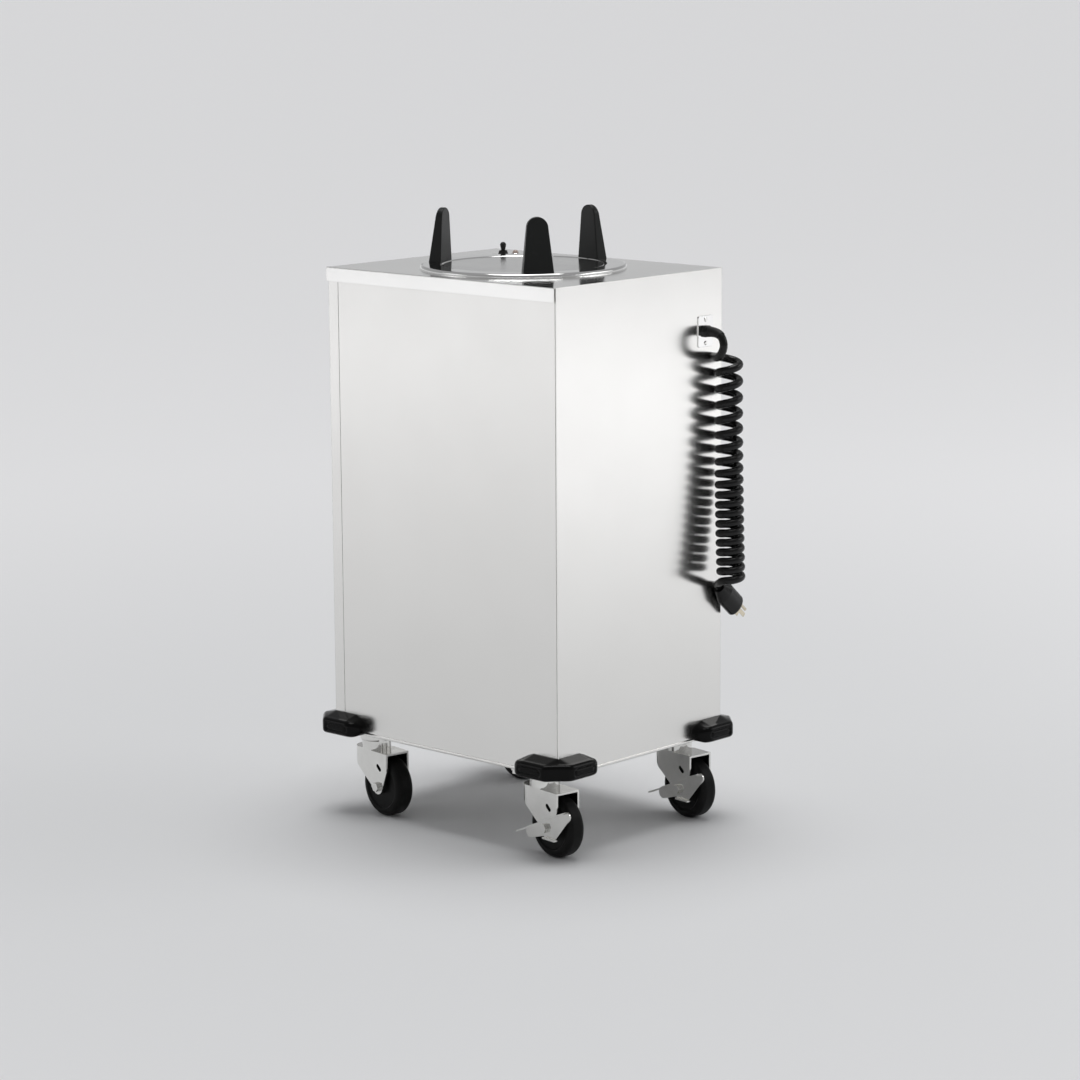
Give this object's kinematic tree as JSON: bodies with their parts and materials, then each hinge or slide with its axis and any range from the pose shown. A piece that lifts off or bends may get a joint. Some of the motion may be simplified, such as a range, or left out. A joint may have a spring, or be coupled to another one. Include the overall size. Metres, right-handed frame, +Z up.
{
  "type": "mobile heated plate dispenser",
  "caption": "Stainless plate dispenser cart with one self-levelling well, three plate guides and casters.",
  "frame": {"origin": "on the floor under the middle of the cabinet", "axes": "+Z up, +X towards the side with the supply cord, -Y towards the access panel"},
  "size_m": [0.5703, 0.4536, 0.9525],
  "materials": {
    "stainless": "brushed",
    "polished": "polished",
    "zinc": "satin",
    "dark_steel": "satin",
    "black_plastic": "satin",
    "white_plastic": "satin",
    "black_rubber": "matte",
    "bumper_rubber": "gloss",
    "wheel_tread": "matte",
    "cord_rubber": "satin",
    "lens": "gloss",
    "brass": "polished"
  },
  "bodies": {
    "cabinet": {"base_pan": "stainless", "caster_channels": "stainless", "side_panel_right": "stainless", "side_panel_left": "stainless", "front_panel": "stainless", "back_panel": "stainless", "top_deck": "stainless", "spring_hanger": "stainless", "guide_tube": "stainless", "well_pan": "stainless", "dispenser_ring": "polished", "control_plate": "polished", "gland_plate": "polished", "lamp_bezel": "polished", "gland_screws": "zinc", "plate_guide_1": "black_plastic", "plate_guide_2": "black_plastic", "plate_guide_3": "black_plastic", "guide_studs": "zinc", "spring_hooks": "zinc", "heater_element": "dark_steel", "heater_clips": "zinc", "switch_collar": "black_rubber", "switch_body": "black_plastic", "pilot_lamp": "lens", "cord_gland": "black_plastic", "junction_box": "zinc", "power_cord": "cord_rubber", "plug_body": "cord_rubber", "plug_blades": "brass", "caster_bolts": "zinc", "kingpins": "zinc", "bumper_front_left": "bumper_rubber", "caster_plate_front_left": "zinc", "bumper_front_right": "bumper_rubber", "caster_plate_front_right": "zinc", "bumper_back_left": "bumper_rubber", "caster_plate_back_left": "zinc", "bumper_back_right": "bumper_rubber", "caster_plate_back_right": "zinc", "lift_springs": "zinc"},
    "carrier": {"carrier_disc": "polished", "carrier_frame": "zinc", "guide_shoes": "white_plastic"},
    "toggle": {"toggle_lever": "black_rubber"},
    "swivel_front_left": {"fork_front_left": "zinc", "axle_front_left": "zinc"},
    "wheel_body_front_left": {"wheel_front_left": "wheel_tread"},
    "swivel_front_right": {"fork_front_right": "zinc", "axle_front_right": "zinc"},
    "wheel_body_front_right": {"wheel_front_right": "wheel_tread"},
    "brake_front_right": {"brake_lever_front_right": "zinc"},
    "swivel_back_left": {"fork_back_left": "zinc", "axle_back_left": "zinc"},
    "wheel_body_back_left": {"wheel_back_left": "wheel_tread"},
    "swivel_back_right": {"fork_back_right": "zinc", "axle_back_right": "zinc"},
    "wheel_body_back_right": {"wheel_back_right": "wheel_tread"},
    "brake_back_right": {"brake_lever_back_right": "zinc"}
  },
  "joints": [
    {"name": "carrier_slide", "type": "slide", "parent": "cabinet", "child": "carrier", "axis": [0, 0, 1], "range_m": [-0.48, 0], "stiffness_N_per_m": 550, "springref_m": 0.04, "deforming": ["lift_springs"]},
    {"name": "toggle_rock", "type": "hinge", "parent": "cabinet", "child": "toggle", "pos_m": [-0.1605, 0.124, 0.8583], "axis": [0, 1, 0], "range_deg": [-10, 10]},
    {"name": "swivel_front_left_turn", "type": "hinge", "parent": "cabinet", "child": "swivel_front_left", "pos_m": [-0.1812, -0.1537, 0.11], "axis": [0, 0, 1], "continuous": true},
    {"name": "wheel_front_left_spin", "type": "hinge", "parent": "swivel_front_left", "child": "wheel_body_front_left", "pos_m": [-0.15149, -0.15787, 0.048], "axis": [0.1392, 0.9903, 0], "continuous": true},
    {"name": "swivel_front_right_turn", "type": "hinge", "parent": "cabinet", "child": "swivel_front_right", "pos_m": [0.1812, -0.1537, 0.11], "axis": [0, 0, 1], "continuous": true},
    {"name": "wheel_front_right_spin", "type": "hinge", "parent": "swivel_front_right", "child": "wheel_body_front_right", "pos_m": [0.21091, -0.15787, 0.048], "axis": [0.1392, 0.9903, 0], "continuous": true},
    {"name": "brake_front_right_press", "type": "hinge", "parent": "swivel_front_right", "child": "brake_front_right", "pos_m": [0.21091, -0.15787, 0.048], "axis": [0.1392, 0.9903, 0], "range_deg": [-16, 0]},
    {"name": "swivel_back_left_turn", "type": "hinge", "parent": "cabinet", "child": "swivel_back_left", "pos_m": [-0.1812, 0.1537, 0.11], "axis": [0, 0, 1], "continuous": true},
    {"name": "wheel_back_left_spin", "type": "hinge", "parent": "swivel_back_left", "child": "wheel_body_back_left", "pos_m": [-0.15149, 0.14952, 0.048], "axis": [0.1392, 0.9903, 0], "continuous": true},
    {"name": "swivel_back_right_turn", "type": "hinge", "parent": "cabinet", "child": "swivel_back_right", "pos_m": [0.1812, 0.1537, 0.11], "axis": [0, 0, 1], "continuous": true},
    {"name": "wheel_back_right_spin", "type": "hinge", "parent": "swivel_back_right", "child": "wheel_body_back_right", "pos_m": [0.21091, 0.14952, 0.048], "axis": [0.1392, 0.9903, 0], "continuous": true},
    {"name": "brake_back_right_press", "type": "hinge", "parent": "swivel_back_right", "child": "brake_back_right", "pos_m": [0.21091, 0.14952, 0.048], "axis": [0.1392, 0.9903, 0], "range_deg": [-16, 0]}
  ]
}
